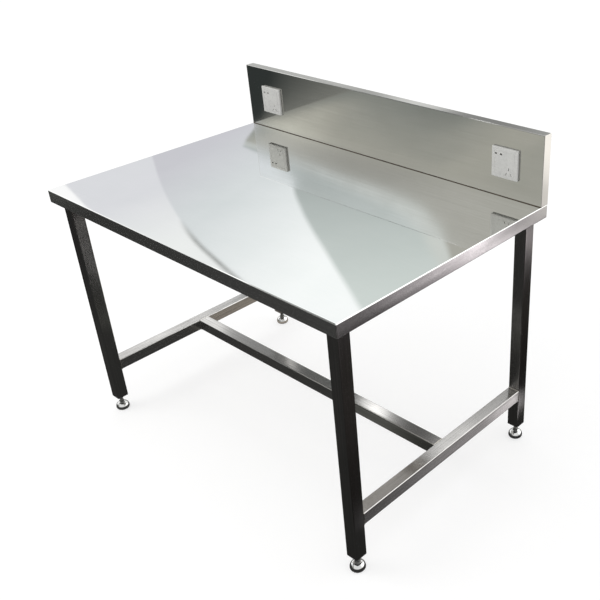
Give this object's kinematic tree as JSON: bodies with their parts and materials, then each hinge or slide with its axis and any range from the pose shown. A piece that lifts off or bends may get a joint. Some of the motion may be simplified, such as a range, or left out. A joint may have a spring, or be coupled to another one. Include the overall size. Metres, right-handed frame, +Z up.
{
  "type": "work table",
  "caption": "Stainless steel work table with folded aprons, an H-shaped lower frame, adjustable domed feet and a rear upstand that carries wall sockets.",
  "frame": {"origin": "on the floor under the middle of the table, feet at mid adjustment", "axes": "+X along the table's length towards the user's right, +Y towards the upstand and the wall, +Z up"},
  "size_m": [1.2, 0.8, 0.99],
  "materials": {
    "polished_steel": "polished",
    "brushed_steel": "brushed",
    "frame_steel": "satin",
    "board": "unfinished particle board",
    "insert_nylon": "matte",
    "zinc": "zinc plated",
    "chrome": "bright",
    "rubber": "matte",
    "white_plastic": "gloss",
    "core_plastic": "satin",
    "galvanised": "galvanised",
    "brass": "bare"
  },
  "bodies": {
    "frame": {"worktop_sheet": "polished_steel", "worktop_board": "board", "front_rail": "frame_steel", "rear_rail": "frame_steel", "left_rail": "frame_steel", "right_rail": "frame_steel", "cross_bearer": "frame_steel", "side_stretcher_left": "frame_steel", "side_stretcher_right": "frame_steel", "centre_stretcher": "frame_steel", "leg_front_left": "frame_steel", "leg_front_right": "frame_steel", "leg_rear_left": "frame_steel", "leg_rear_right": "frame_steel", "leg_insert_front_left": "insert_nylon", "lock_nut_front_left": "zinc", "leg_insert_front_right": "insert_nylon", "lock_nut_front_right": "zinc", "leg_insert_rear_left": "insert_nylon", "lock_nut_rear_left": "zinc", "leg_insert_rear_right": "insert_nylon", "lock_nut_rear_right": "zinc", "upstand_shell": "brushed_steel", "upstand_end_left": "brushed_steel", "upstand_end_right": "brushed_steel", "upstand_brace": "brushed_steel", "upstand_screw_1": "zinc", "upstand_screw_2": "zinc", "upstand_screw_3": "zinc", "upstand_screw_4": "zinc", "back_box_left": "galvanised", "socket_core_left": "core_plastic", "cover_plate_left": "white_plastic", "contact_neutral_left": "brass", "contact_live_left": "brass", "contact_earth_left": "brass", "socket_screw_left_1": "zinc", "socket_screw_left_2": "zinc", "back_box_right": "galvanised", "socket_core_right": "core_plastic", "cover_plate_right": "white_plastic", "contact_neutral_right": "brass", "contact_live_right": "brass", "contact_earth_right": "brass", "socket_screw_right_1": "zinc", "socket_screw_right_2": "zinc"},
    "pad_front_left": {"foot_cup_front_left": "chrome", "foot_sole_front_left": "rubber"},
    "stem_front_left": {"foot_stem_front_left": "zinc"},
    "pad_front_right": {"foot_cup_front_right": "chrome", "foot_sole_front_right": "rubber"},
    "stem_front_right": {"foot_stem_front_right": "zinc"},
    "pad_rear_left": {"foot_cup_rear_left": "chrome", "foot_sole_rear_left": "rubber"},
    "stem_rear_left": {"foot_stem_rear_left": "zinc"},
    "pad_rear_right": {"foot_cup_rear_right": "chrome", "foot_sole_rear_right": "rubber"},
    "stem_rear_right": {"foot_stem_rear_right": "zinc"},
    "shutter_left": {"shutter_left": "core_plastic"},
    "shutter_right": {"shutter_right": "core_plastic"}
  },
  "joints": [
    {"name": "foot_rise_front_left", "type": "slide", "parent": "frame", "child": "pad_front_left", "axis": [0, 0, 1], "range_m": [-0.021, 0.0105]},
    {"name": "foot_turn_front_left", "type": "hinge", "parent": "pad_front_left", "child": "stem_front_left", "pos_m": [-0.557, -0.357, 0], "axis": [0, 0, 1], "range_deg": [-4320.1, 2160.1]},
    {"name": "foot_rise_front_right", "type": "slide", "parent": "frame", "child": "pad_front_right", "axis": [0, 0, 1], "range_m": [-0.021, 0.0105]},
    {"name": "foot_turn_front_right", "type": "hinge", "parent": "pad_front_right", "child": "stem_front_right", "pos_m": [0.557, -0.357, 0], "axis": [0, 0, 1], "range_deg": [-4320.1, 2160.1]},
    {"name": "foot_rise_rear_left", "type": "slide", "parent": "frame", "child": "pad_rear_left", "axis": [0, 0, 1], "range_m": [-0.021, 0.0105]},
    {"name": "foot_turn_rear_left", "type": "hinge", "parent": "pad_rear_left", "child": "stem_rear_left", "pos_m": [-0.557, 0.357, 0], "axis": [0, 0, 1], "range_deg": [-4320.1, 2160.1]},
    {"name": "foot_rise_rear_right", "type": "slide", "parent": "frame", "child": "pad_rear_right", "axis": [0, 0, 1], "range_m": [-0.021, 0.0105]},
    {"name": "foot_turn_rear_right", "type": "hinge", "parent": "pad_rear_right", "child": "stem_rear_right", "pos_m": [0.557, 0.357, 0], "axis": [0, 0, 1], "range_deg": [-4320.1, 2160.1]},
    {"name": "shutter_slide_left", "type": "slide", "parent": "frame", "child": "shutter_left", "axis": [1, 0, 0], "range_m": [0, 0.0045], "stiffness_N_per_m": 200, "springref_m": -0.003},
    {"name": "shutter_slide_right", "type": "slide", "parent": "frame", "child": "shutter_right", "axis": [1, 0, 0], "range_m": [0, 0.0045], "stiffness_N_per_m": 200, "springref_m": -0.003}
  ],
  "couplings": [
    {"joint": "foot_turn_front_left", "follows": "foot_rise_front_left", "rad_per_m": 3590.4},
    {"joint": "foot_turn_front_right", "follows": "foot_rise_front_right", "rad_per_m": 3590.4},
    {"joint": "foot_turn_rear_left", "follows": "foot_rise_rear_left", "rad_per_m": 3590.4},
    {"joint": "foot_turn_rear_right", "follows": "foot_rise_rear_right", "rad_per_m": 3590.4}
  ]
}
